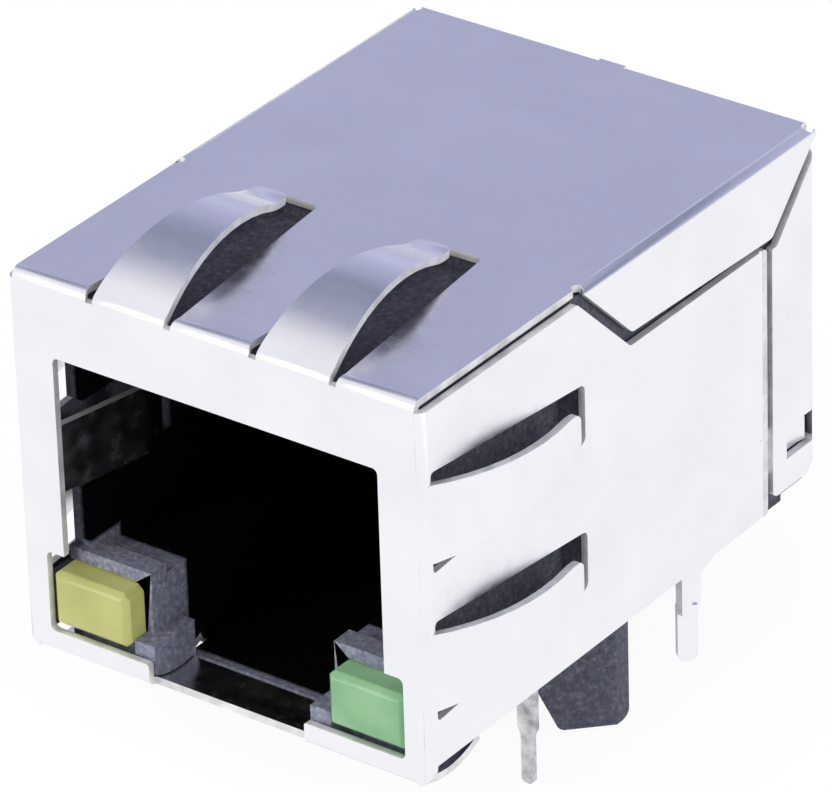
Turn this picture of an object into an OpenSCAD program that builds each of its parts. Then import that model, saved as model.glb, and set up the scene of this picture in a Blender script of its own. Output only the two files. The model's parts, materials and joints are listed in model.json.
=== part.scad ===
// Shielded modular jack for eight contacts, soldered to a board, latch side down.
// It has two indicator lamps, spring fingers on its shield and isolating magnetics inside.
// Y = 0 is the line through the two locating pegs, Z = 0 is the board's surface.
// The mouth faces -Y, and X runs to the right as seen from the mouth.

/* [Shield] */
// Width over the shield's side walls
shield_w = 15.9; // [15.7:0.05:16.6]
// Length of the shield's top panel, front to back
shield_l = 21.4; // [21:0.1:24]
// Height of the shield's top above the board
shield_h = 14; // [13.8:0.1:15]
// Thickness of the shield's sheet
sheet_t = 0.25; // [0.2:0.01:0.28]
// Inside radius of the shield's folds
fold_r = 0.1; // [0.05:0.01:0.15]
// Gap between the edges of neighbouring panels
seam_gap = 0.4; // [0.3:0.05:0.45]
// Height of the front panel's lower edge above the board
front_lift = 0.3; // [0.2:0.05:0.4]
// Height of the side walls' lower edges above the board
side_lift = 1.1; // [1:0.05:1.3]
// Height of the rear cover's lower edge above the board
rear_lift = 1.5; // [1.3:0.05:1.8]

/* [Side flaps of the top panel] */
// Distance from the front face to where the flaps begin, on the top edge
flap_start = 8.35; // [8:0.05:9]
// Drop of a flap's lower edge below the top, at its front end
flap_drop = 2.65; // [2.4:0.05:3.2]
// Further drop of that edge towards the rear
flap_fall = 0.25; // [0:0.05:0.3]
// Run of each slanted end of a flap along the jack
flap_slant = 2.7; // [2.2:0.1:3.2]

/* [Mouth] */
// Width of the mouth
mouth_w = 12.5; // [12.2:0.1:12.7]
// Height of the mouth's upper edge above the board
mouth_top = 11.25; // [11:0.05:11.5]
// Width over the two lamp steps of the mouth
step_w = 13.9; // [13.7:0.05:14.1]
// Height of the lamp steps' upper edge above the board
step_top = 4.05; // [3.9:0.05:4.2]
// Height of the front panel's lower webs, measured to their upper edge above the board
web_top = 1.15; // [1:0.05:1.25]
// Width of the latch notch between the lower webs
notch_w = 6.1; // [5.8:0.1:6.3]

/* [Spring fingers] */
// Length of a finger, measured along the jack
finger_l = 7.45; // [7:0.05:7.8]
// Width of a finger at its root
finger_root_w = 2.75; // [2.4:0.05:3]
// Width of a finger at its free end
finger_tip_w = 1.25; // [1:0.05:1.6]
// Distance from the front face to the crown of a finger
crown_y = 4.1; // [3.8:0.05:4.4]
// Bow of a top finger above the panel
top_bow = 1.32; // [1:0.02:1.5]
// Height of a top finger's free end above the panel
top_rest = 0.73; // [0.5:0.01:0.9]
// Bow of a side finger beyond the wall
side_bow = 0.94; // [0.7:0.02:1.1]
// Height of a side finger's free end beyond the wall
side_rest = 0.56; // [0.4:0.01:0.65]
// Gap between a finger and the edge of its slot
finger_gap = 0.4; // [0.3:0.05:0.45]
// Length of a finger's slot, from the front face
slot_l = 8.45; // [8.2:0.05:8.8]
// Distance of each top finger from the jack's centre plane
top_finger_x = 3.15; // [3:0.05:3.4]
// Height of the lower side finger's middle above the board
low_finger_z = 4.45; // [4.3:0.05:4.6]
// Height of the upper side finger's middle above the board
high_finger_z = 9.7; // [9.5:0.05:9.9]
// Length of the bowed flap under the mouth
bottom_flap_l = 2.9; // [2.6:0.1:3.1]
// Bow of that flap below the front panel's lower edge
bottom_bow = 0.3; // [0.2:0.02:0.36]
// Inward angle of the two grounding springs in the mouth
ground_angle = 12; // [8:1:14]
// Width of a grounding spring
ground_w = 2.4; // [2:0.1:2.8]

/* [Rear cover] */
// Distance from the front face to the front edge of the rear cover's side flaps
cover_start = 18.85; // [18.6:0.05:19.2]
// Length of the window for the latch tooth
window_l = 1.65; // [1.4:0.05:1.8]
// Height of that window
window_h = 1.15; // [1:0.05:1.4]
// Height of the window's lower edge above the board
window_z = 2.6; // [2.4:0.1:3.2]

/* [Housing] */
// Clearance between the housing and the shield
fit_gap = 0.1; // [0.08:0.01:0.12]
// Width of the plug's cavity
cavity_w = 12.4; // [12.2:0.05:12.5]
// Distance from the front face to the cavity's rear wall
cavity_l = 12.2; // [12:0.1:12.6]
// Height of the cavity's floor above the board
cavity_floor = 3.8; // [3.7:0.05:3.9]
// Thickness of the floor under the latch
latch_floor_t = 0.25; // [0.2:0.01:0.3]
// Distance from the front face to the latch floor's front lip
lip_y = 2.35; // [2.25:0.05:2.45]
// Height of the shoulders that hold the plug's latch, above the board
shoulder_top = 1.62; // [1.5:0.02:1.7]
// Distance from the jack's centre plane to the sides of the latch channel
channel_x = 3.58; // [3.45:0.02:3.65]
// Thickness of the lamp bezels, front to back
bezel_t = 0.8; // [0.6:0.05:1]
// Setback of the lamp bezels behind the front face
bezel_y = 1; // [0.9:0.05:1.1]
// Depth of the pockets behind the side fingers
side_pocket = 0.75; // [0.6:0.05:0.85]
// Depth of the pockets behind the top fingers
top_pocket = 0.4; // [0.3:0.05:0.45]
// Setback of the cavity's side walls behind the front face
wall_y = 1.3; // [1.1:0.05:1.5]
// Width of the housing's foot, below the shield's side walls
foot_w = 13.7; // [13.5:0.05:13.75]
// Thickness of the wall between the cavity and the magnetics
bulkhead_t = 0.75; // [0.6:0.05:0.9]

/* [Pegs] */
// Distance between the two pegs
peg_span = 12.7; // [12.4:0.1:12.8]
// Distance from the front face to the pegs
peg_setback = 10.05; // [9.8:0.05:10.4]
// Width of a peg's blade, set at 45 degrees across its hole
peg_w = 3.2; // [2.9:0.05:3.3]
// Thickness of a peg's blade
peg_t = 1.3; // [1.1:0.1:1.5]
// Length of a peg below the board's surface
peg_l = 2.8; // [2.6:0.1:3]

/* [Lamps] */
// Width of a lamp
lamp_w = 3; // [2.8:0.05:3.03]
// Height of a lamp
lamp_h = 2; // [1.8:0.05:2.1]
// Length of a lamp's body
lamp_l = 5; // [4.5:0.1:5.2]
// Distance from the jack's centre plane to a lamp's inner side
lamp_x = 3.9; // [3.85:0.05:3.95]
// Height of a lamp's underside above the board
lamp_z = 1.3; // [1.25:0.05:1.4]
// Bevel along a lamp's edges
lamp_bevel = 0.22; // [0.1:0.02:0.3]
// Distance from the front face to the row of lamp leads
lead_y = 6.4; // [6.2:0.05:6.8]
// Offset of the leads from the middle of their lamp, away from the jack's centre plane
lead_shift = 0.18; // [0.15:0.01:0.2]
// Distance between a lamp's two leads
lead_pitch = 2.8; // [2.54:0.02:2.84]
// Width of a lead at its tip
lead_w = 0.45; // [0.4:0.05:0.5]
// Width of a lead above the board
lead_root_w = 0.7; // [0.6:0.05:0.75]
// Thickness of a lead
lead_t = 0.25; // [0.2:0.01:0.3]

/* [Contacts and pins] */
// Pitch of the eight contacts
contact_pitch = 1.02; // [1:0.01:1.04]
// Diameter of a contact's wire
wire_d = 0.35; // [0.3:0.01:0.4]
// Depth of a contact's upper run below the shield's top
contact_drop = 1.7; // [1.6:0.05:1.8]
// Radius of a contact's hairpin bend, along the middle of its wire
contact_r = 0.75; // [0.7:0.05:0.8]
// Distance from the front face to the middle of that bend
contact_y = 4.25; // [4.1:0.05:4.6]
// Slope of a contact's free arm
contact_angle = 25; // [22:1:27]
// Length of a contact's free arm
contact_arm = 6.1; // [5.8:0.1:6.6]
// Pitch of the signal pins along a row
pin_pitch = 2.04; // [2:0.01:2.1]
// Distance between the two rows of signal pins
row_gap = 2.54; // [2.4:0.02:2.7]
// Width of a square signal pin
pin_w = 0.45; // [0.4:0.01:0.5]
// Length of pins and lamp leads below the board's surface
pin_l = 3.05; // [3.02:0.01:3.4]
// Length of the shield's solder tails below the board's surface
tail_l = 2.2; // [1.8:0.1:2.6]

/* [Magnetics] */
// Outside diameter of a toroid core
core_d = 2.9; // [2.6:0.05:3]
// Bore of a toroid core
core_bore = 1.4; // [1.2:0.05:1.5]
// Thickness of a toroid core
core_t = 1.5; // [1.3:0.05:1.7]
// Number of turns on each core
turns = 9; // [6:1:12]
// Width of the board that carries the magnetics
module_board_w = 13; // [12.6:0.1:13.2]
// Distance between the two columns of cores
core_spacing = 6.4; // [6.2:0.1:6.6]
// Distance between the two rows of cores
core_rise = 4; // [3.6:0.1:4.2]
// Height of the lower cores' middle above the signal pins' tops
core_lift = 2.4; // [2.2:0.1:2.6]
// Width, thickness and height of the capacitor
capacitor_w = 3.2; // [2.8:0.1:3.4]
capacitor_t = 0.9; // [0.6:0.1:1]
capacitor_h = 2.4; // [2:0.1:2.6]
// Width, thickness and height of a resistor
resistor_w = 1; // [0.8:0.1:1.2]
resistor_t = 0.45; // [0.35:0.05:0.6]
resistor_h = 1.6; // [1.4:0.1:1.8]
// Distance between neighbouring resistors
resistor_pitch = 2.6; // [2.2:0.1:2.8]
// Thickness of the module's circuit board
pcb_t = 0.8; // [0.7:0.05:1]

/* [Hidden] */
$fn = 48;

// Outside radius of a fold, and where the shield's inner faces lie
fold_o = fold_r + sheet_t;
half_w = shield_w / 2;
inner_w = shield_w - 2 * sheet_t;
fold_line = shield_h - fold_o;

// Housing block, a clearance inside the shield
body_w = inner_w - 2 * fit_gap;
body_front = sheet_t + fit_gap;
body_back = shield_l - sheet_t - fit_gap;
body_top = shield_h - sheet_t - fit_gap;
wall_out = body_w / 2 - side_pocket;
cavity_top = mouth_top - 0.05;
contact_z = shield_h - contact_drop;

// Long enough to pass through everything
far = 60;

// Free ends of the fingers: a flat tail after a reversed bend
flat_l = 0.25;
heel_r = 2;
finger_root = 0.3;
slot_corner_r = 0.25;
slot_heel_r = 0.15;

// Magnetics compartment behind the cavity
bay_front = cavity_l + bulkhead_t;
bay_w = body_w - 2 * side_pocket;
bay_roof_t = 0.75;
bay_top = body_top - bay_roof_t;
row_front = bay_front + 0.65;
board_y = row_front + (row_gap - pcb_t) / 2;
base_h = 1.2;
pin_top = 3.4;
lamp_gap = 0.04;
lamp_front = 0.08;
lead_mid = lamp_x + lamp_w / 2 + lead_shift;
lamp_back = lamp_front + lamp_l;
part_gap = 0.05;

// Places what is measured from the front face and the board's surface
module seated() translate([0, -peg_setback, 0]) children();

module both_sides() {
  children();
  mirror([1, 0, 0]) children();
}

// Panel frames: X across, Y back from the front face, Z out of the panel
module on_top(x) translate([x, 0, shield_h]) children();
module on_side(z) translate([half_w, 0, z]) rotate([0, 90, 0]) children();

// Prisms on an outline: seen from the front (x, z), and from the side (y, z)
module front_prism(y0, y1) translate([0, y1, 0]) rotate([90, 0, 0]) linear_extrude(y1 - y0) children();
module side_prism(x0, x1) translate([x0, 0, 0]) rotate([90, 0, 90]) linear_extrude(x1 - x0) children();

// Block from corner to corner
module block(a, b) translate(a) cube(b - a);

// Outline through the corners [x, y, radius], each rounded by an arc
function unit(v) = v / norm(v);
function rounded(p) = [
  for (i = [0:len(p) - 1])
    let (
      here = [p[i][0], p[i][1]],
      before = p[(i + len(p) - 1) % len(p)],
      after = p[(i + 1) % len(p)],
      u = unit([before[0], before[1]] - here),
      v = unit([after[0], after[1]] - here),
      half = acos(u * v) / 2,
      hub = here + unit(u + v) * p[i][2] / sin(half),
      side = sign(u[0] * v[1] - u[1] * v[0]),
      first = here + u * p[i][2] / tan(half) - hub,
      start = atan2(first[1], first[0])
    )
    each p[i][2] == 0 ? [here] : [
      for (k = [0:6])
        let (a = start - side * (180 - 2 * half) * k / 6)
        hub + p[i][2] * [cos(a), sin(a)]
    ]
];

// The same corners again on the other side of the centre line
function both(p) = concat(p, [for (i = [len(p) - 1:-1:0]) [-p[i][0], p[i][1], p[i][2]]]);

function turned(v, a) = [v[0] * cos(a) - v[1] * sin(a), v[0] * sin(a) + v[1] * cos(a)];

// Points beside a folded path, at a distance to its left
function beside(steps, off, at = [0, 0], heading = 0, i = 0) = i == len(steps) ? [] :
  let (
    run = steps[i][0],
    turn = steps[i][1],
    left = turned([0, 1], heading),
    corner = at + run * turned([1, 0], heading),
    hub = corner + left * (turn > 0 ? sheet_t + steps[i][2] : -steps[i][2]),
    count = ceil(abs(turn) / 6)
  )
  concat(
    i == 0 ? [at + off * left] : [],
    run > 0 ? [corner + off * left] : [],
    turn == 0 ? [] : [for (k = [1:count]) hub + turned(corner + off * left - hub, turn * k / count)],
    beside(steps, off, hub + turned(corner - hub, turn), heading + turn, i + 1)
  );

// Folded sheet in section. Each step is a straight run, then a bend: [run, turn, inside radius].
// The sheet lies to the left of its path, and a positive turn goes to the left.
module strip(steps) {
  near = beside(steps, 0);
  off = beside(steps, sheet_t);
  polygon(concat(near, [for (i = [len(off) - 1:-1:0]) off[i]]));
}

/* ---- Shield ---- */

// Spring finger in its panel's frame, rising out of the front fold to a crown and falling to a flat end
module finger(bow, rest) {
  reach = crown_y - fold_o;
  crown_r = (pow(reach, 2) + pow(bow + fold_o, 2) - pow(fold_o, 2)) / (2 * bow);
  rise = asin(reach / (crown_r - fold_o));
  back = finger_l - flat_l - crown_y;
  fall = 2 * atan((bow - rest) / back);
  back_r = back / sin(fall) - heel_r;
  intersection() {
    side_prism(-finger_root_w, finger_root_w)
      translate([sheet_t, -fold_o - finger_root]) rotate(90) strip([
        [finger_root, rise - 90, fold_r],
        [0, -rise, crown_r - sheet_t],
        [0, -fall, back_r - sheet_t],
        [0, fall, heel_r],
        [flat_l, 0, 0]
      ]);
    translate([0, 0, -far / 2]) linear_extrude(far) polygon(rounded(both([
      [finger_tip_w / 2, finger_l, 0.3],
      [finger_root_w / 2, fold_o, 0],
      [finger_root_w / 2, -1, 0]
    ])));
  }
}

// Slot around a finger, cut back from a distance behind the front face
module finger_slot(start) translate([0, 0, -fold_o]) linear_extrude(far) polygon(rounded(both([
  [finger_tip_w / 2 + finger_gap, slot_l, slot_corner_r],
  [finger_root_w / 2 + finger_gap, max(start, fold_o), start > 0 ? slot_heel_r : 0],
  [finger_root_w / 2 - 0.1, start, 0]
])));

module each_finger() {
  both_sides() {
    on_top(top_finger_x) finger(top_bow, top_rest);
    for (z = [low_finger_z, high_finger_z]) on_side(z) finger(side_bow, side_rest);
  }
}

module each_slot() {
  both_sides() {
    on_top(top_finger_x) finger_slot(-1);
    for (z = [low_finger_z, high_finger_z]) on_side(z) finger_slot(fold_o + 0.05);
  }
}

// Opening in the front panel for the plug, its latch and the two lamps
module mouth_outline() polygon(rounded(both([
  [mouth_w / 2, mouth_top, 0.2],
  [mouth_w / 2, step_top, 0],
  [step_w / 2, step_top, 0.2],
  [step_w / 2, web_top, 0.2],
  [notch_w / 2, web_top, 0.1],
  [notch_w / 2, -1, 0]
])));

// Side walls, seen from the side, with a slanted upper edge beside the flaps of the top panel
wall_end = cover_start - 0.3;
wall_edge = shield_h - flap_drop - flap_fall - seam_gap / 2;
slant = flap_slant / flap_drop;
slant_shift = 0.7 * seam_gap * (1 + slant);
tail_front = 13.6;
tail_back = 14.65;
tail_crease = -0.35;

module wall_outline() polygon(rounded([
  [-1, front_lift, 0],
  [fold_o, front_lift, 0],
  [fold_o, side_lift, 0],
  [wall_end, side_lift, 0.2],
  [wall_end, wall_edge, 0.2],
  [flap_start + slant * (shield_h - wall_edge) - slant_shift, wall_edge, 0.3],
  [flap_start + slant * fold_o - slant_shift, fold_line, 0.2],
  [-1, fold_line, 0]
]));

// Root of a solder tail, flared into the wall's lower edge
module tail_root() side_prism(inner_w / 2, half_w) polygon(rounded([
  [tail_front, side_lift + 0.5, 0],
  [tail_front, tail_crease, 0.15],
  [tail_back, tail_crease, 0.15],
  [tail_back, side_lift - 0.3, 0],
  [tail_back + 0.9, side_lift, 0],
  [tail_back + 0.9, side_lift + 0.5, 0]
]));

// Front panel folded back into the two side walls
module wrap() {
  intersection() {
    translate([0, 0, front_lift - 1]) linear_extrude(fold_line - front_lift + 2)
      translate([inner_w / 2, wall_end]) rotate(-90) strip([
        [wall_end - fold_o, -90, fold_r],
        [inner_w - 2 * fold_r, -90, fold_r],
        [wall_end - fold_o, 0, 0]
      ]);
    front_prism(-1, shield_l) polygon(rounded(both([
      [half_w + 1, shield_h, 0],
      [half_w + 1, side_lift, 0],
      [half_w, side_lift, 0],
      [half_w, front_lift, side_lift - front_lift - 0.01]
    ])));
    side_prism(-half_w - 1, half_w + 1) wall_outline();
  }
  both_sides() tail_root();
}

// Top panel: folded up from the front between the walls, and behind them folded down into two flaps
module roof() {
  side_prism(-inner_w / 2 + 0.02, inner_w / 2 - 0.02)
    translate([sheet_t, mouth_top + 1]) rotate(90) strip([
      [fold_line - mouth_top - 1, -90, fold_r],
      [flap_start + 1 - fold_o, 0, 0]
    ]);
  intersection() {
    front_prism(flap_start, shield_l) translate([-inner_w / 2, shield_h - flap_drop - 1]) rotate(90) strip([
      [flap_drop + 1 - fold_o, -90, fold_r],
      [inner_w - 2 * fold_r, -90, fold_r],
      [flap_drop + 1 - fold_o, 0, 0]
    ]);
    side_prism(-far, far) polygon(rounded([
      [flap_start, shield_h + 1, 0],
      [flap_start, shield_h, 0],
      [flap_start + flap_slant, shield_h - flap_drop, 0.3],
      [cover_start, shield_h - flap_drop - flap_fall, 0.3],
      [shield_l - 0.1, fold_line, 0],
      [shield_l, fold_line, 0],
      [shield_l, shield_h + 1, 0]
    ]));
  }
  block([-0.5, shield_l - 1, shield_h - sheet_t], [0.5, shield_l + 0.15, shield_h]);
}

// Relief holes where the flaps' folds begin and end
module relief_holes() both_sides() for (y = [flap_start + 0.15, shield_l - 0.15])
  translate([inner_w / 2, y, shield_h - 1]) cylinder(h = 2, r = 0.2);

// Bottom panel, folded from the lower webs and bowed down towards the board.
// Its middle is a strap that ties the webs together across the latch notch.
flap_in = notch_w / 2 + 0.35;
flap_out = step_w / 2 + 0.5;
web_run = 0.6;
bow_share = 0.45;
bow_run = bottom_flap_l * bow_share;
bow_r = (pow(bow_run, 2) + pow(bottom_bow, 2)) / (2 * bottom_bow);
bow_dip = asin(bow_run / bow_r);
bottom_steps = [
  [web_run - fold_o, bow_dip - 90, fold_r],
  [0, -2 * bow_dip, bow_r],
  [0.2, 0, 0]
];
function below_mouth(v) = [sheet_t - v[1], front_lift + web_run - v[0]];

module bottom_section() {
  near = beside(bottom_steps, 0);
  off = beside(bottom_steps, sheet_t);
  polygon([for (v = concat(near, [for (i = [len(off) - 1:-1:0]) off[i]])) below_mouth(v)]);
}

module bottom_panel() {
  both_sides() side_prism(flap_in, flap_out) bottom_section();
  intersection() {
    side_prism(-flap_in - 0.1, flap_in + 0.1) bottom_section();
    union() {
      both_sides() block([notch_w / 2, -1, -1], [flap_in + 0.1, strap_back, 1]);
      block([-far, strap_front, -1], [far, strap_back, 1]);
    }
  }
}
strap_front = 0.4;
strap_back = lip_y - 0.1;

// Space that the housing leaves above the bottom panel
module bottom_clearance() {
  roof_line = [for (v = beside(bottom_steps, -part_gap)) below_mouth(v)];
  outline = concat([[-1, front_lift + web_run]], roof_line, [[bottom_flap_l + 0.6, front_lift + fold_o], [bottom_flap_l + 0.6, -1], [-1, -1]]);
  both_sides() side_prism(flap_in - 0.01, far) polygon(outline);
  intersection() {
    side_prism(-flap_in, flap_in) polygon(outline);
    block([-far, -far, -far], [far, lip_y, far]);
  }
}

// Grounding spring, folded into the mouth and turned out again at its end
ground_z = 7.5;
ground_l = 3.3;

module grounding_spring() translate([0, 0, ground_z - ground_w / 2]) linear_extrude(ground_w)
  translate([mouth_w / 2 + fold_o + 0.3, sheet_t]) rotate(180) strip([
    [0.3, ground_angle - 90, fold_r],
    [ground_l, -2 * ground_angle - 10, 0.5],
    [1.1, 0, 0]
  ]);

// Tongue behind the rear cover, with a lanced tooth that catches its window
tongue_h = window_h + 0.5;
tongue_z = window_z + window_h / 2;
joggle = sheet_t + part_gap;

module latch_tongue() {
  translate([0, 0, tongue_z - tongue_h / 2]) linear_extrude(tongue_h)
    translate([half_w, wall_end - 0.5]) rotate(90) strip([
      [0.2, 30, fold_r],
      [(joggle - (2 * fold_r + sheet_t) * (1 - cos(30))) / sin(30), -30, fold_r],
      [2, 0, 0]
    ]);
  translate([half_w - joggle - 0.05, cover_start + 1.1, tongue_z - window_h / 2 + 0.15])
    linear_extrude(window_h - 0.3) rotate(76) strip([[0.95, 0, 0]]);
}

// Shallow groove down each wall, just in front of its rear edge
groove_depth = 0.08;
groove_inset = 0.35;
module rear_groove() both_sides() translate([half_w, wall_end - groove_inset, 0]) linear_extrude(wall_edge)
  polygon([[-groove_depth, 0], [0.01, -groove_depth], [0.01, groove_depth]]);

// Solder tail below each wall's tab, turned across the jack
module solder_tail() translate([half_w - 0.2, (tail_front + tail_back) / 2, 0]) rotate(50)
  front_prism(-sheet_t / 2, sheet_t / 2) polygon(rounded(both([
    [0.34, tail_crease + 0.2, 0],
    [0.34, -tail_l, 0.25]
  ])));

module front_shield() color("lavender") seated() {
  difference() {
    union() {
      wrap();
      roof();
    }
    front_prism(-1, fold_o + 0.5) mouth_outline();
    each_slot();
    relief_holes();
    block([-flap_out, -1, 0], [flap_out, 1, front_lift + fold_o]);
    rear_groove();
  }
  each_finger();
  bottom_panel();
  both_sides() {
    grounding_spring();
    latch_tongue();
    solder_tail();
  }
}

// Rear cover: back wall with a flap folded forward on each side
module rear_shield() color("lavenderblush") seated() difference() {
  intersection() {
    translate([0, 0, rear_lift]) linear_extrude(shield_h - sheet_t - part_gap - rear_lift)
      translate([-inner_w / 2, cover_start]) rotate(90) strip([
        [shield_l - cover_start - fold_o, -90, fold_r],
        [inner_w - 2 * fold_r, -90, fold_r],
        [shield_l - cover_start - fold_o, 0, 0]
      ]);
    union() {
      block([fold_o - half_w, 0, 0], [half_w - fold_o, far, far]);
      side_prism(-far, far) polygon(rounded([
        [cover_start, rear_lift, 0.3],
        [shield_l - 0.6, rear_lift, 0.2],
        [shield_l + 0.1, rear_lift + 0.7, 0],
        [shield_l + 0.1, fold_line - 0.7 * seam_gap, 0],
        [shield_l - 0.1 + 0.7 * seam_gap, fold_line - 0.7 * seam_gap, 0.1],
        [cover_start + 0.7 * seam_gap, wall_edge - seam_gap / 2, 0.1],
        [cover_start, wall_edge - seam_gap / 2, 0.1]
      ]));
    }
  }
  both_sides() block(
    [inner_w / 2 - 1, cover_start + 0.8, window_z],
    [far, cover_start + 0.8 + window_l, window_z + window_h]
  );
}

/* ---- Housing ---- */

// Space for the plug, with the channel for its latch below
module plug_cavity() {
  block([-cavity_w / 2, bezel_back, lamp_cover], [cavity_w / 2, cavity_l, cavity_top]);
  block([-cavity_w / 2, -1, cavity_floor], [cavity_w / 2, cavity_l, cavity_top]);
  block([-channel_x, shoulder_end, latch_floor_t], [channel_x, cavity_l, cavity_floor + 1]);
  block([-notch_w / 2, -1, -1], [notch_w / 2, shoulder_end + 0.1, cavity_floor + 1]);
  block([-channel_x, -1, shoulder_top], [channel_x, shoulder_end + 0.1, cavity_floor + 1]);
}
shoulder_end = lip_y + 0.05;
shoulder_w = 0.8;
bezel_back = bezel_y + bezel_t;
lamp_cover = lamp_z + lamp_h + lamp_gap + 0.15;

// Front of the block, cut back round the lamps, and its sides cut in just above the board
module front_relief() {
  both_sides() {
    block([notch_w / 2 + shoulder_w, -1, -1], [step_w / 2 + 0.1, bezel_y, cavity_floor + 0.5]);
    block([0, -1, shoulder_top], [step_w / 2 + 0.1, bezel_y, cavity_floor + 0.5]);
    block([cavity_w / 2 - 1, -1, cavity_floor], [wall_out + 0.01, wall_y, cavity_top]);
    block([foot_w / 2, -1, -1], [far, far, side_lift]);
  }
}

// Pockets into which the spring fingers can be pressed
module finger_pockets() both_sides() {
  block(
    [wall_out, -1, low_finger_z - finger_root_w / 2 - finger_gap],
    [far, slot_l + 0.1, high_finger_z + finger_root_w / 2 + finger_gap]
  );
  block(
    [top_finger_x - finger_root_w / 2 - finger_gap, -1, body_top - top_pocket],
    [top_finger_x + finger_root_w / 2 + finger_gap, slot_l + 0.1, far]
  );
}

module spring_windows() both_sides() block(
  [cavity_w / 2 - 1, -1, ground_z - ground_w / 2 - 0.4],
  [far, ground_l + 2.6, ground_z + ground_w / 2 + 0.4]
);

module tongue_pockets() both_sides() block(
  [half_w - joggle - sheet_t - 0.15, wall_end - 0.6, tongue_z - tongue_h / 2 - 0.1],
  [far, far, tongue_z + tongue_h / 2 + 0.1]
);

module lamp_pockets() both_sides() {
  block(
    [lamp_x - lamp_gap, -1, lamp_z - lamp_gap],
    [lamp_x + lamp_w + lamp_gap, lamp_back + lamp_gap, lamp_z + lamp_h + lamp_gap]
  );
  block(
    [lead_mid - lead_pitch / 2 - lead_root_w / 2 - part_gap, lamp_back - 0.5, -1],
    [lead_mid + lead_pitch / 2 + lead_root_w / 2 + part_gap, lead_y + lead_t / 2 + 0.1, lamp_z + lamp_h + lamp_gap]
  );
}

// Channel over the cavity for the contacts, and the compartment for the magnetics behind it
carrier_w = 7 * contact_pitch + 2.2;
carrier_room = 0.825;
module contact_channel() block(
  [-carrier_w / 2 - part_gap, contact_y - contact_r - wire_d - 0.4, carrier_bottom - carrier_room],
  [carrier_w / 2 + part_gap, bay_front + 1, bay_top]
);
module magnetics_bay() block([-bay_w / 2, bay_front, -1], [bay_w / 2, far, bay_top]);

// Peg: a flat blade across its round hole, tapered along its inner edge
module peg() translate([peg_span / 2, peg_setback, 0]) rotate(45) front_prism(-peg_t / 2, peg_t / 2)
  polygon(rounded([
    [peg_w / 2, side_lift + 0.2, 0],
    [peg_w / 2, -peg_l, 0.3],
    [0.85 - peg_w / 2, -peg_l, 0.3],
    [-peg_w / 2, -0.9, 0],
    [-peg_w / 2, side_lift + 0.2, 0]
  ]));

module housing() color("dimgray") seated() {
  difference() {
    block([-body_w / 2, body_front, 0], [body_w / 2, body_back, body_top]);
    plug_cavity();
    front_relief();
    bottom_clearance();
    finger_pockets();
    spring_windows();
    tongue_pockets();
    lamp_pockets();
    contact_channel();
    magnetics_bay();
  }
  both_sides() intersection() {
    peg();
    block([0, 0, -far], [body_w / 2, far, far]);
  }
}

/* ---- Contacts ---- */

nose_r = contact_r - wire_d / 2 - part_gap;
carrier_top = bay_top - part_gap;
carrier_bottom = contact_z - contact_r - nose_r;
carrier_back = board_y - 0.4;
function contact_x(i) = (i - 4.5) * contact_pitch;

// Insulator round which the eight wires are bent, with a groove for each
module contact_carrier() color("slategray") seated() difference() {
  union() {
    block([-carrier_w / 2, contact_y, carrier_bottom], [carrier_w / 2, carrier_back, carrier_top]);
    translate([-carrier_w / 2, contact_y, contact_z - contact_r]) rotate([0, 90, 0]) cylinder(h = carrier_w, r = nose_r);
  }
  for (i = [1:8]) translate([contact_x(i), 0, 0]) block(
    [-wire_d / 2 - 0.04, 0, contact_z - wire_d / 2 - part_gap],
    [wire_d / 2 + 0.04, far, far]
  );
  block([-far, -1, contact_z], [far, contact_y + 1, far]);
  for (i = [1:8]) translate([contact_x(i), contact_y, contact_z - contact_r]) rotate([0, 90, 0])
    translate([0, 0, -wire_d / 2 - 0.04]) difference() {
      cylinder(h = wire_d + 0.08, r = contact_r + 2);
      translate([0, 0, -1]) cylinder(h = wire_d + 2, r = nose_r);
      translate([-far, 0, -1]) cube([2 * far, far, far]);
    }
}

// Contact wire: upper run, hairpin bend and free arm with a rounded end
module contact(i) color("goldenrod") seated() translate([contact_x(i), contact_y, contact_z - contact_r]) {
  translate([0, 0, contact_r]) rotate([-90, 0, 0]) cylinder(h = board_y - contact_y, d = wire_d);
  rotate([90, 0, 90]) rotate([0, 0, 90]) rotate_extrude(angle = 180 - contact_angle)
    translate([contact_r, 0]) circle(d = wire_d);
  rotate([-90 - contact_angle, 0, 0]) translate([0, contact_r, 0]) {
    cylinder(h = contact_arm, d = wire_d);
    translate([0, 0, contact_arm]) sphere(d = wire_d);
  }
}

/* ---- Pins ---- */

// Square pin with a chamfered tip
module square_pin(w, d, top) intersection() {
  front_prism(-d, d) polygon(rounded(both([[w / 2, top, 0], [w / 2, w / 4 - pin_l, 0], [w / 4, -pin_l, 0]])));
  side_prism(-w, w) polygon(rounded(both([[d / 2, top, 0], [d / 2, w / 4 - pin_l, 0], [d / 4, -pin_l, 0]])));
}

function pin_x(i) = (i - 4.5) * pin_pitch / 2;
function pin_y(i) = row_front + (i % 2) * row_gap;
module signal_pin(i) color("silver") seated() translate([pin_x(i), pin_y(i), 0]) square_pin(pin_w, pin_w, pin_top);

// Base that closes the compartment below and holds the signal pins
module pin_base() color("dimgray") seated() difference() {
  block(
    [part_gap - bay_w / 2, bay_front + part_gap, 0],
    [bay_w / 2 - part_gap, body_back - part_gap, base_h]
  );
  for (i = [1:8]) translate([pin_x(i), pin_y(i), 0])
    block([-pin_w / 2 - 0.02, -pin_w / 2 - 0.02, -1], [pin_w / 2 + 0.02, pin_w / 2 + 0.02, 5]);
}

/* ---- Lamps ---- */

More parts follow.
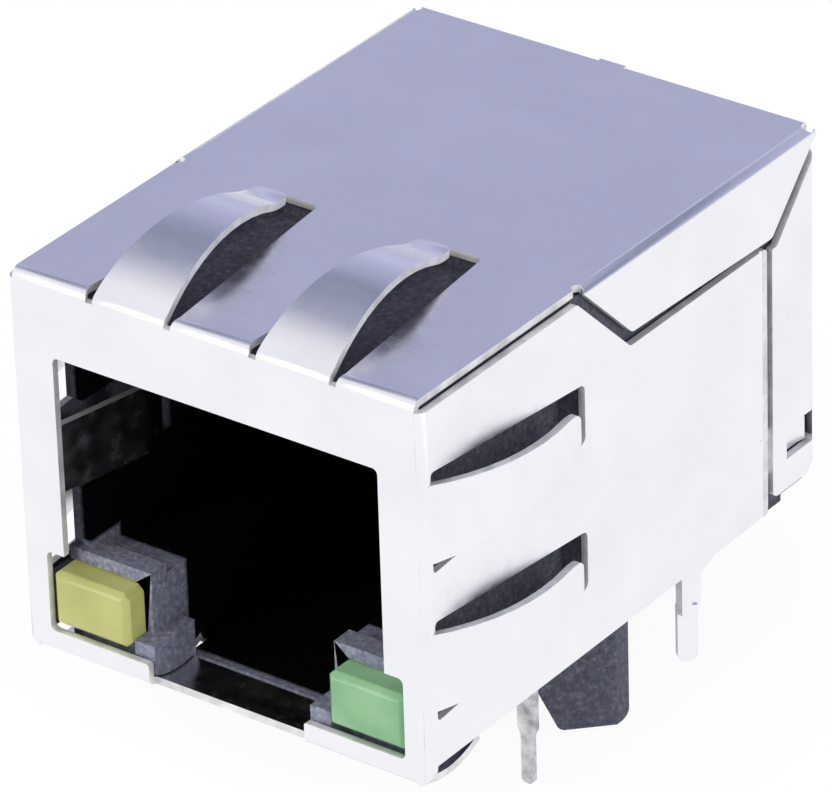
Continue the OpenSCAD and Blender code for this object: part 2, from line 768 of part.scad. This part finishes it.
// Block with all its edges bevelled
module bevelled(a, b, bevel) {
  module section(p, q) polygon([
    [p[0] + bevel, p[1]], [q[0] - bevel, p[1]], [q[0], p[1] + bevel], [q[0], q[1] - bevel],
    [q[0] - bevel, q[1]], [p[0] + bevel, q[1]], [p[0], q[1] - bevel], [p[0], p[1] + bevel]
  ]);
  intersection() {
    front_prism(a[1], b[1]) section([a[0], a[2]], [b[0], b[2]]);
    side_prism(a[0], b[0]) section([a[1], a[2]], [b[1], b[2]]);
    translate([0, 0, a[2]]) linear_extrude(b[2] - a[2]) section([a[0], a[1]], [b[0], b[1]]);
  }
}

// Lamp on the right, or its mirror image on the left
module lamp(side, tint) color(tint) seated() scale([side, 1, 1])
  bevelled([lamp_x, lamp_front, lamp_z], [lamp_x + lamp_w, lamp_back, lamp_z + lamp_h], lamp_bevel);

// Lead that leaves the lamp's back and turns down through the housing
module lamp_lead(x) color("silver") seated() translate([x, 0, 0]) {
  translate([0, lead_y, 0]) front_prism(-lead_t / 2, lead_t / 2) polygon(rounded(both([
    [lead_root_w / 2, lamp_z + lamp_h / 2 + lead_t / 2, 0],
    [lead_root_w / 2, -1, 0.1],
    [lead_w / 2, -1.3, 0.1],
    [lead_w / 2, -pin_l + 0.1, 0],
    [lead_w / 4, -pin_l, 0]
  ])));
  block(
    [-lead_w / 2, lamp_back, lamp_z + lamp_h / 2 - lead_t / 2],
    [lead_w / 2, lead_y, lamp_z + lamp_h / 2 + lead_t / 2]
  );
}

/* ---- Magnetics ---- */

wire_t = 0.16;
core_gap = 0.05;
board_back = board_y + pcb_t;
function core_x(i) = (i % 2 == 0 ? 1 : -1) * core_spacing / 2;
function core_z(i) = pin_top + core_lift + (i > 2 ? core_rise : 0);
core_front = board_back + wire_t + 2 * core_gap;

board_end_gap = 0.1;
module module_board() color("seagreen") seated() block(
  [-module_board_w / 2, board_y, base_h + board_end_gap],
  [module_board_w / 2, board_back, bay_top - 2 * board_end_gap]
);

// Ferrite ring, standing on the board's rear face
module core(i) color("gray") seated() translate([core_x(i), core_front + core_t, core_z(i)]) rotate([90, 0, 0])
  difference() {
    cylinder(h = core_t, d = core_d);
    translate([0, 0, -1]) cylinder(h = core_t + 2, d = core_bore);
  }

// Turns of enamelled wire round a core
module winding(i) color("chocolate") seated() translate([core_x(i), core_front, core_z(i)])
  for (k = [0:turns - 1]) rotate([0, k * 360 / turns, 0]) difference() {
    block(
      [core_bore / 2 - core_gap - wire_t, -core_gap - wire_t, -wire_t / 2],
      [core_d / 2 + core_gap + wire_t, core_t + core_gap + wire_t, wire_t / 2]
    );
    block(
      [core_bore / 2 - core_gap, -core_gap, -1],
      [core_d / 2 + core_gap, core_t + core_gap, 1]
    );
  }

// Chip components on the board's front face, below the contact carrier
capacitor_gap = 0.225;
resistor_gap = 0.8;
capacitor_z = carrier_bottom - capacitor_gap - capacitor_h / 2;
resistor_z = capacitor_z - capacitor_h / 2 - resistor_gap - resistor_h / 2;
function resistor_x(i) = (i - 2.5) * resistor_pitch;
module chip(x, z, size, tint) color(tint) seated() translate([x, board_y - size[1], z])
  block([-size[0] / 2, 0, -size[2] / 2], [size[0] / 2, size[1], size[2] / 2]);

front_shield();
rear_shield();
housing();
contact_carrier();
for (i = [1:8]) contact(i);
for (i = [1:8]) signal_pin(i);
pin_base();
module_board();
lamp(-1, "khaki");  // yellow_lamp
lamp(1, "mediumseagreen");  // green_lamp
lamp_lead(-lead_mid + lead_pitch / 2);  // yellow_lead_inner
lamp_lead(-lead_mid - lead_pitch / 2);  // yellow_lead_outer
lamp_lead(lead_mid - lead_pitch / 2);  // green_lead_inner
lamp_lead(lead_mid + lead_pitch / 2);  // green_lead_outer
for (i = [1:4]) core(i);
for (i = [1:4]) winding(i);
for (i = [1:4]) chip(resistor_x(i), resistor_z, [resistor_w, resistor_t, resistor_h], "black");
chip(0, capacitor_z, [capacitor_w, capacitor_t, capacitor_h], "tan");  // capacitor
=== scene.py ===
import json
import math

import bmesh
import bpy
from mathutils import Matrix, Vector


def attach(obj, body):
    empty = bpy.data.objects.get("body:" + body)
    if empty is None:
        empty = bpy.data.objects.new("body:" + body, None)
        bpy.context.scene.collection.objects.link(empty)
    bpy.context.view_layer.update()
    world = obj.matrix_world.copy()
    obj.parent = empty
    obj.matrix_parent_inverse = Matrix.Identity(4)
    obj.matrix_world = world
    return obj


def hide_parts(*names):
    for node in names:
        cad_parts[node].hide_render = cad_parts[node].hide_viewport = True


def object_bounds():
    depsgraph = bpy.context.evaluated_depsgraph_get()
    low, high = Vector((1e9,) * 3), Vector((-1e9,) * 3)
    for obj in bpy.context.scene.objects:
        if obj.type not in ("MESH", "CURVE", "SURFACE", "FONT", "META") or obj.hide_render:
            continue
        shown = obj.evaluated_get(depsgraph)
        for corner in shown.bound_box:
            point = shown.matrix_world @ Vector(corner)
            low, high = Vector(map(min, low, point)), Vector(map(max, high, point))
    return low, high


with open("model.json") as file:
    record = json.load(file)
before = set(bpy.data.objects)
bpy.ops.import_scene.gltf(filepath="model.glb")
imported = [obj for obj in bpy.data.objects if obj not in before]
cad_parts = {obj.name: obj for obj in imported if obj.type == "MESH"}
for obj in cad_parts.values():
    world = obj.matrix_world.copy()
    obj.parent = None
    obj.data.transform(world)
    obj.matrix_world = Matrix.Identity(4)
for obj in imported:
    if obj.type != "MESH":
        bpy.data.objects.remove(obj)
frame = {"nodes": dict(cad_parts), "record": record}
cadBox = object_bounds()
nodes = frame["nodes"]
mm = 0.001
print("frame loaded:", len(nodes), "nodes")


# ---- Materials ----

def newMaterial(name):
    material = bpy.data.materials.new(name)
    material.use_nodes = True
    tree = material.node_tree
    shader = tree.nodes["Principled BSDF"]
    return material, tree, shader


def addNode(tree, kind, **settings):
    node = tree.nodes.new(kind)
    for key, value in settings.items():
        if hasattr(node, key):
            setattr(node, key, value)
        else:
            node.inputs[key].default_value = value
    return node


def objectPoint(tree):
    return addNode(tree, "ShaderNodeTexCoord").outputs["Object"]


# Noise on object coordinates; the scale is in features per millimetre
def grain(tree, perMm, detail=3.0, rough=0.55):
    noise = addNode(tree, "ShaderNodeTexNoise", Scale=perMm * 1000, Detail=detail, Roughness=rough)
    tree.links.new(objectPoint(tree), noise.inputs["Vector"])
    return noise.outputs["Fac"]


# Two or more colours spread over a value from 0 to 1
def colourRamp(tree, value, stops):
    ramp = addNode(tree, "ShaderNodeValToRGB")
    elements = ramp.color_ramp.elements
    while len(elements) < len(stops):
        elements.new(0.5)
    for element, (place, colour) in zip(elements, stops):
        element.position = place
        element.color = (*colour, 1)
    tree.links.new(value, ramp.inputs["Fac"])
    return ramp.outputs["Color"]


def rangeOf(tree, value, low, high, toLow, toHigh):
    node = addNode(tree, "ShaderNodeMapRange")
    for key, number in zip(("From Min", "From Max", "To Min", "To Max"), (low, high, toLow, toHigh)):
        node.inputs[key].default_value = number
    tree.links.new(value, node.inputs["Value"])
    return node.outputs["Result"]


def addBump(tree, shader, height, depthMm, strength):
    bump = addNode(tree, "ShaderNodeBump", Strength=strength, Distance=depthMm * mm)
    tree.links.new(height, bump.inputs["Height"])
    tree.links.new(bump.outputs["Normal"], shader.inputs["Normal"])


def scaled(tree, colour, share):
    mix = addNode(tree, "ShaderNodeVectorMath", operation="SCALE")
    tree.links.new(colour, mix.inputs[0])
    tree.links.new(share, mix.inputs["Scale"])
    return mix.outputs[0]


def joined(tree, operation, first, second):
    node = addNode(tree, "ShaderNodeMath", operation=operation)
    for socket, value in zip(node.inputs, (first, second)):
        if isinstance(value, (int, float)):
            socket.default_value = value
        else:
            tree.links.new(value, socket)
    return node.outputs[0]


# Share of light that reaches a point: full at the bezels in the mouth, less outside the block,
# hardly any in the cavity
def depthShade(tree, look):
    split = addNode(tree, "ShaderNodeSeparateXYZ")
    tree.links.new(objectPoint(tree), split.inputs[0])
    edge = look["softMm"] * mm

    def past(value, limitMm):
        return rangeOf(tree, value, limitMm * mm - edge, limitMm * mm + edge, 0, 1)

    across = joined(tree, "ABSOLUTE", split.outputs["X"], 0)
    above = past(split.outputs["Z"], look["cavityTopMm"])
    below = joined(tree, "SUBTRACT", 1, past(split.outputs["Z"], look["footMm"]))
    beside = past(across, look["cavityHalfMm"])
    outside = joined(tree, "MAXIMUM", beside, joined(tree, "MAXIMUM", above, below))
    behind = past(split.outputs["Y"], cadBox[0][1] / mm + look["mouthMm"])
    higher = past(split.outputs["Z"], look["bezelTopMm"])
    mouth = joined(tree, "SUBTRACT", 1, joined(tree, "MAXIMUM", behind, higher))
    inside = rangeOf(tree, mouth, 0, 1, look["cavity"], 1)
    return joined(
        tree,
        "ADD",
        joined(tree, "MULTIPLY", outside, look["outside"]),
        joined(tree, "MULTIPLY", joined(tree, "SUBTRACT", 1, outside), inside),
    )


def sheetMetal(name, look):
    material, tree, shader = newMaterial(name)
    shader.inputs["Metallic"].default_value = look["metallic"]
    cloud = grain(tree, look["cloudPerMm"], 2.0)
    tone = colourRamp(tree, cloud, [(0.35, look["dark"]), (0.65, look["light"])])
    tree.links.new(tone, shader.inputs["Base Color"])
    fine = grain(tree, look["finePerMm"], 4.0)
    rolled = addNode(tree, "ShaderNodeTexNoise", Scale=look["streakPerMm"] * 1000, Detail=4.0)
    stretch = addNode(tree, "ShaderNodeMapping")
    stretch.inputs["Scale"].default_value = look["streakStretch"]
    tree.links.new(objectPoint(tree), stretch.inputs["Vector"])
    tree.links.new(stretch.outputs[0], rolled.inputs["Vector"])
    wear = joined(tree, "MULTIPLY", joined(tree, "ADD", fine, rolled.outputs["Fac"]), 0.5)
    rough = rangeOf(tree, wear, *look["wearSpan"], look["roughLow"], look["roughHigh"])
    tree.links.new(rough, shader.inputs["Roughness"])
    addBump(tree, shader, wear, look["bumpMm"], look["bumpShare"])
    return material


# Cut edge of the sheet, where its bright core shows
def cutEdge(name, look):
    material, tree, shader = newMaterial(name)
    shader.inputs["Metallic"].default_value = look["metallic"]
    tone = colourRamp(tree, grain(tree, look["grainPerMm"]), [(0.35, look["dark"]), (0.65, look["light"])])
    tree.links.new(tone, shader.inputs["Base Color"])
    shader.inputs["Roughness"].default_value = look["rough"]
    return material


plasticLook = {"grainDetail": 3.0, "grainRough": 0.7, "specular": 0.4, "bumpShare": 0.5}


def mouldedPlastic(name, look):
    material, tree, shader = newMaterial(name)
    speckle = grain(tree, look["specklePerMm"], plasticLook["grainDetail"], plasticLook["grainRough"])
    tone = colourRamp(tree, speckle, [
        (0.30, look["dark"]),
        (0.55, look["main"]),
        (0.78, look["light"]),
    ])
    shader.inputs["Roughness"].default_value = look["rough"]
    shader.inputs["Specular IOR Level"].default_value = plasticLook["specular"]
    if "depths" in look:
        shade = depthShade(tree, look["depths"])
        tone = scaled(tree, tone, shade)
        shine = rangeOf(tree, shade, 0, 1, 0, plasticLook["specular"])
        tree.links.new(shine, shader.inputs["Specular IOR Level"])
    tree.links.new(tone, shader.inputs["Base Color"])
    addBump(tree, shader, speckle, look["bumpMm"], plasticLook["bumpShare"])
    return material


resinLook = {
    "cloudPerMm": 0.5,
    "cloudDetail": 2.0,
    "rough": 0.28,
    "scatter": 0.25,
    "scatterMm": 0.6,
    "coat": 0.3,
}


def lampResin(name, look):
    material, tree, shader = newMaterial(name)
    cloud = grain(tree, resinLook["cloudPerMm"], resinLook["cloudDetail"])
    tone = colourRamp(tree, cloud, [(0.3, look["deep"]), (0.7, look["pale"])])
    tree.links.new(tone, shader.inputs["Base Color"])
    shader.inputs["Roughness"].default_value = resinLook["rough"]
    # Painted glow: the unlit resin emits light in its own colour, standing in for light passing through
    # the resin
    tree.links.new(tone, shader.inputs["Emission Color"])
    shader.inputs["Emission Strength"].default_value = look["glow"]
    shader.inputs["Subsurface Weight"].default_value = resinLook["scatter"]
    shader.inputs["Subsurface Radius"].default_value = look["pale"]
    shader.inputs["Subsurface Scale"].default_value = resinLook["scatterMm"] * mm
    shader.inputs["Coat Weight"].default_value = resinLook["coat"]
    return material


wireLook = {
    "metallic": 0.85,
    "blotchDetail": 5.0,
    "blotchRough": 0.6,
    "blotchSpan": (0.3, 0.7),
    "roughSpan": (0.5, 0.25),
    "bumpShare": 0.6,
}


# Drawn or dipped wire, rougher where its surface is dull
def tinnedWire(name, look):
    material, tree, shader = newMaterial(name)
    shader.inputs["Metallic"].default_value = wireLook["metallic"]
    blotch = grain(tree, look["blotchPerMm"], wireLook["blotchDetail"], wireLook["blotchRough"])
    tone = colourRamp(tree, blotch, [(0.3, look["dark"]), (0.5, look["main"]), (0.7, look["light"])])
    tree.links.new(tone, shader.inputs["Base Color"])
    rough = rangeOf(tree, blotch, *wireLook["blotchSpan"], *wireLook["roughSpan"])
    tree.links.new(rough, shader.inputs["Roughness"])
    addBump(tree, shader, blotch, look["bumpMm"], wireLook["bumpShare"])
    return material


finishes = {
    "shield": sheetMetal("shieldMetal", {
        "metallic": 1.0,
        "dark": (0.865, 0.865, 0.905),
        "light": (0.905, 0.905, 0.94),
        "roughLow": 0.17,
        "roughHigh": 0.29,
        "cloudPerMm": 0.3,
        "finePerMm": 2.5,
        "streakPerMm": 1.6,
        "streakStretch": (0.12, 1.0, 1.0),
        "wearSpan": (0.35, 0.65),
        "bumpMm": 0.006,
        "bumpShare": 0.35,
    }),
    "shieldEdge": cutEdge("shieldCutEdge", {
        "metallic": 0.35,
        "dark": (0.62, 0.62, 0.60),
        "light": (0.88, 0.88, 0.86),
        "rough": 0.42,
        "grainPerMm": 1.2,
    }),
    "housing": mouldedPlastic("housingPlastic", {
        "dark": (0.13, 0.136, 0.19),
        "main": (0.25, 0.258, 0.335),
        "light": (0.52, 0.53, 0.60),
        "rough": 0.5,
        "specklePerMm": 5.0,
        "bumpMm": 0.02,
        "depths": {
            "cavityHalfMm": 6.5,
            "cavityTopMm": 12.0,
            "footMm": 0.12,
            "mouthMm": 2.75,
            "bezelTopMm": 3.95,
            "softMm": 0.08,
            "cavity": 0.012,
            "outside": 0.38,
        },
    }),
    "carrier": mouldedPlastic("carrierPlastic", {
        "dark": (0.02, 0.02, 0.028),
        "main": (0.032, 0.032, 0.045),
        "light": (0.06, 0.06, 0.08),
        "rough": 0.5,
        "specklePerMm": 4.0,
        "bumpMm": 0.01,
    }),
    "gold": tinnedWire("contactGold", {
        "dark": (0.55, 0.36, 0.12),
        "main": (0.80, 0.56, 0.22),
        "light": (0.90, 0.70, 0.34),
        "blotchPerMm": 0.8,
        "bumpMm": 0.002,
    }),
    "tinned": tinnedWire("tinnedLead", {
        "dark": (0.30, 0.31, 0.33),
        "main": (0.58, 0.59, 0.61),
        "light": (0.78, 0.79, 0.80),
        "blotchPerMm": 1.6,
        "bumpMm": 0.02,
    }),
    "board": mouldedPlastic("boardMask", {
        "dark": (0.012, 0.075, 0.035),
        "main": (0.016, 0.10, 0.045),
        "light": (0.03, 0.14, 0.07),
        "rough": 0.35,
        "specklePerMm": 1.5,
        "bumpMm": 0.003,
    }),
    # The resins' glow values are painted light: the lamps are not lit, and the emission stands in for
    # light shining through the resin
    "yellow": lampResin("yellowResin", {
        "deep": (0.34, 0.34, 0.10),
        "pale": (0.42, 0.42, 0.14),
        "glow": 0.28,
    }),
    "green": lampResin("greenResin", {
        "deep": (0.13, 0.31, 0.14),
        "pale": (0.24, 0.43, 0.23),
        "glow": 0.25,
    }),
    "ferrite": mouldedPlastic("ferriteGrey", {
        "dark": (0.016, 0.016, 0.018),
        "main": (0.03, 0.03, 0.032),
        "light": (0.055, 0.055, 0.06),
        "rough": 0.6,
        "specklePerMm": 6.0,
        "bumpMm": 0.01,
    }),
    "enamel": tinnedWire("enamelledCopper", {
        "dark": (0.30, 0.08, 0.03),
        "main": (0.48, 0.16, 0.07),
        "light": (0.62, 0.26, 0.12),
        "blotchPerMm": 1.0,
        "bumpMm": 0.002,
    }),
    "chip_black": mouldedPlastic("chipBlack", {
        "dark": (0.006, 0.006, 0.008),
        "main": (0.012, 0.012, 0.014),
        "light": (0.03, 0.03, 0.03),
        "rough": 0.4,
        "specklePerMm": 5.0,
        "bumpMm": 0.004,
    }),
    "chip_tan": mouldedPlastic("chipTan", {
        "dark": (0.22, 0.14, 0.07),
        "main": (0.34, 0.23, 0.12),
        "light": (0.42, 0.30, 0.17),
        "rough": 0.45,
        "specklePerMm": 5.0,
        "bumpMm": 0.004,
    }),
}
print("finishes made:", len(finishes))

slotOf = {part["node"]: part["material_slot"] for part in frame["record"]["subparts"]}
for name, piece in nodes.items():
    piece.data.materials.clear()
    piece.data.materials.append(finishes[slotOf[name]])


# ---- Dressed copies of the CAD nodes ----

dress = {
    "weldMm": 0.0005,
    "flatDegrees": 0.4,
    "sharpDegrees": 32,
    "keepDegrees": 42,
    "cutEdgeMm": (0.12, 0.30),
}


# Faces about as wide as the sheet is thick, between two sharp edges, get the edge finish
def markCutEdges(bm, sharp):
    narrow, wide = (width * mm for width in dress["cutEdgeMm"])
    for face in bm.faces:
        rim = sum(edge.calc_length() for edge in face.edges if edge in sharp)
        if rim > 0 and narrow < 2 * face.calc_area() / rim < wide:
            face.material_index = 1


# Copy of a CAD node with its triangles merged and its sharp edges rounded
def roundedCopy(nodeName, pieceName, edgeMm, segments=2):
    edgeFinish = finishes.get(slotOf[nodeName] + "Edge")
    bm = bmesh.new()
    bm.from_mesh(nodes[nodeName].data)
    bmesh.ops.remove_doubles(bm, verts=bm.verts, dist=dress["weldMm"] * mm)
    bmesh.ops.dissolve_limit(
        bm, angle_limit=math.radians(dress["flatDegrees"]), verts=bm.verts, edges=bm.edges
    )
    sharp = {
        edge for edge in bm.edges
        if len(edge.link_faces) == 2 and edge.calc_face_angle() > math.radians(dress["sharpDegrees"])
    }
    if edgeFinish:
        markCutEdges(bm, sharp)
    bmesh.ops.bevel(
        bm, geom=list(sharp), offset=edgeMm * mm, offset_type="OFFSET", segments=segments, profile=0.5,
        affect="EDGES", material=1 if edgeFinish else -1, clamp_overlap=True,
    )
    bmesh.ops.remove_doubles(bm, verts=bm.verts, dist=dress["weldMm"] * mm)
    return finishPiece(bm, pieceName, nodeName, edgeFinish)


def finishPiece(bm, pieceName, nodeName, edgeFinish):
    for face in bm.faces:
        face.smooth = True
    for edge in bm.edges:
        turn = edge.calc_face_angle(0) if len(edge.link_faces) == 2 else 0
        edge.smooth = turn < math.radians(dress["keepDegrees"])
    mesh = bpy.data.meshes.new(pieceName)
    bm.to_mesh(mesh)
    bm.free()
    mesh.materials.append(finishes[slotOf[nodeName]])
    if edgeFinish:
        mesh.materials.append(edgeFinish)
    piece = bpy.data.objects.new(pieceName, mesh)
    bpy.context.scene.collection.objects.link(piece)
    weighted = piece.modifiers.new("evenShading", "WEIGHTED_NORMAL")
    weighted.keep_sharp = True
    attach(piece, "root")
    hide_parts(nodeName)
    return piece


roundedNodes = {
    "front_shield": ("shieldShell", 0.03),
    "rear_shield": ("rearCover", 0.03),
    "housing": ("housingShell", 0.05),
    "yellow_lamp": ("yellowLamp", 0.04),
    "green_lamp": ("greenLamp", 0.04),
    "yellow_lead_inner": ("yellowLeadInner", 0.03),
    "yellow_lead_outer": ("yellowLeadOuter", 0.03),
    "green_lead_inner": ("greenLeadInner", 0.03),
    "green_lead_outer": ("greenLeadOuter", 0.03),
    "contact_carrier": ("contactCarrier", 0.04),
}
for nodeName, (pieceName, edgeMm) in roundedNodes.items():
    made = roundedCopy(nodeName, pieceName, edgeMm)
    print("rounded", pieceName, len(made.data.polygons), "faces")


# ---- Floor, light and camera ----

def cleanRays(tree):
    # 1 for what the camera sees directly or in metal and glass
    path = addNode(tree, "ShaderNodeLightPath")
    total = path.outputs["Is Camera Ray"]
    for key in ("Is Glossy Ray", "Is Transmission Ray"):
        most = addNode(tree, "ShaderNodeMath", operation="MAXIMUM")
        tree.links.new(total, most.inputs[0])
        tree.links.new(path.outputs[key], most.inputs[1])
        total = most.outputs[0]
    return total


def layFloor(look):
    bm = bmesh.new()
    bmesh.ops.create_grid(bm, x_segments=1, y_segments=1, size=look["size"])
    bmesh.ops.translate(bm, verts=bm.verts, vec=(0, 0, cadBox[0][2]))
    mesh = bpy.data.meshes.new("floor")
    bm.to_mesh(mesh)
    bm.free()
    floor = bpy.data.objects.new("floor", mesh)
    bpy.context.scene.collection.objects.link(floor)
    material, tree, shader = newMaterial("floorPaper")
    shader.inputs["Base Color"].default_value = (*look["colour"], 1)
    shader.inputs["Roughness"].default_value = look["rough"]
    glow = addNode(tree, "ShaderNodeEmission", Strength=look["glow"])
    share = addNode(tree, "ShaderNodeMath", operation="MULTIPLY")
    share.inputs[1].default_value = look["cleanShare"]
    mix = addNode(tree, "ShaderNodeMixShader")
    tree.links.new(cleanRays(tree), share.inputs[0])
    tree.links.new(share.outputs[0], mix.inputs["Fac"])
    tree.links.new(shader.outputs[0], mix.inputs[1])
    tree.links.new(glow.outputs[0], mix.inputs[2])
    tree.links.new(mix.outputs[0], tree.nodes["Material Output"].inputs["Surface"])
    mesh.materials.append(material)


layFloor({"size": 1.5, "colour": (0.9, 0.9, 0.92), "rough": 0.9, "glow": 1.03, "cleanShare": 0.91})


# Studio surroundings: a white front half, and a white horizon with a lavender ceiling behind.
# What the camera sees directly is plain white.
def hangWorld(look):
    world = bpy.data.worlds.new("studio")
    bpy.context.scene.world = world
    world.use_nodes = True
    tree = world.node_tree
    back = tree.nodes["Background"]
    where = addNode(tree, "ShaderNodeTexCoord")
    split = addNode(tree, "ShaderNodeSeparateXYZ")
    tree.links.new(where.outputs["Generated"], split.inputs[0])
    ceiling = colourRamp(tree, split.outputs["Z"], look["ceiling"])
    forward = rangeOf(tree, split.outputs["Y"], *look["frontEdge"], 1, 0)
    front = addNode(tree, "ShaderNodeMixRGB")
    tree.links.new(forward, front.inputs["Fac"])
    tree.links.new(ceiling, front.inputs["Color1"])
    front.inputs["Color2"].default_value = (*look["front"], 1)
    path = addNode(tree, "ShaderNodeLightPath")
    seen = addNode(tree, "ShaderNodeMixRGB")
    tree.links.new(path.outputs["Is Camera Ray"], seen.inputs["Fac"])
    tree.links.new(front.outputs[0], seen.inputs["Color1"])
    seen.inputs["Color2"].default_value = (1, 1, 1, 1)
    tree.links.new(seen.outputs[0], back.inputs["Color"])
    back.inputs["Strength"].default_value = look["strength"]


hangWorld({
    "ceiling": [
        (0.0, (0.62, 0.63, 0.74)),
        (0.10, (0.42, 0.43, 0.60)),
        (0.24, (0.62, 0.63, 0.86)),
        (0.40, (0.45, 0.46, 0.64)),
        (0.52, (0.43, 0.44, 0.62)),
        (0.66, (0.24, 0.26, 0.36)),
        (0.82, (0.30, 0.32, 0.44)),
        (1.0, (0.55, 0.56, 0.70)),
    ],
    "front": (0.92, 0.92, 0.95),
    "frontEdge": (-0.15, 0.15),
    "strength": 1.0,
})

lamps = {
    "keyPanel": {"place": (-0.15, -0.30, 0.12), "size": 0.20, "watts": 0.35, "colour": (1.0, 1.0, 1.0)},
    "sidePanel": {"place": (0.32, -0.02, 0.10), "size": 0.20, "watts": 0.3, "colour": (1.0, 1.0, 1.0)},
}
for lampName, look in lamps.items():
    light = bpy.data.lights.new(lampName, "AREA")
    light.size = look["size"]
    light.energy = look["watts"]
    light.color = look["colour"]
    holder = bpy.data.objects.new(lampName, light)
    holder.location = look["place"]
    holder.rotation_euler = (-Vector(look["place"])).to_track_quat("-Z", "Y").to_euler()
    bpy.context.scene.collection.objects.link(holder)


cameraLook = {
    "place": (121.67, -161.21, 122.15),
    "azimuth": 36.99,
    "elevation": 29.68,
    "roll": -1.83,
    "lensMm": 316.8,
    "clip": (0.01, 10),
}


def placeCamera(look):
    turn, tilt, roll = (math.radians(look[key]) for key in ("azimuth", "elevation", "roll"))
    back = Vector((math.sin(turn) * math.cos(tilt), -math.cos(turn) * math.cos(tilt), math.sin(tilt)))
    right = Vector((math.cos(turn), math.sin(turn), 0))
    up = back.cross(right)
    level = Matrix((right, up, back)).transposed()
    data = bpy.data.cameras.new("camera")
    data.lens = look["lensMm"]
    data.clip_start, data.clip_end = look["clip"]
    camera = bpy.data.objects.new("camera", data)
    camera.matrix_world = (
        Matrix.Translation(Vector(look["place"]) * mm)
        @ level.to_4x4()
        @ Matrix.Rotation(roll, 4, "Z")
    )
    bpy.context.scene.collection.objects.link(camera)
    bpy.context.scene.camera = camera


placeCamera(cameraLook)
bpy.context.scene.view_settings.view_transform = "Standard"
print("studio set")
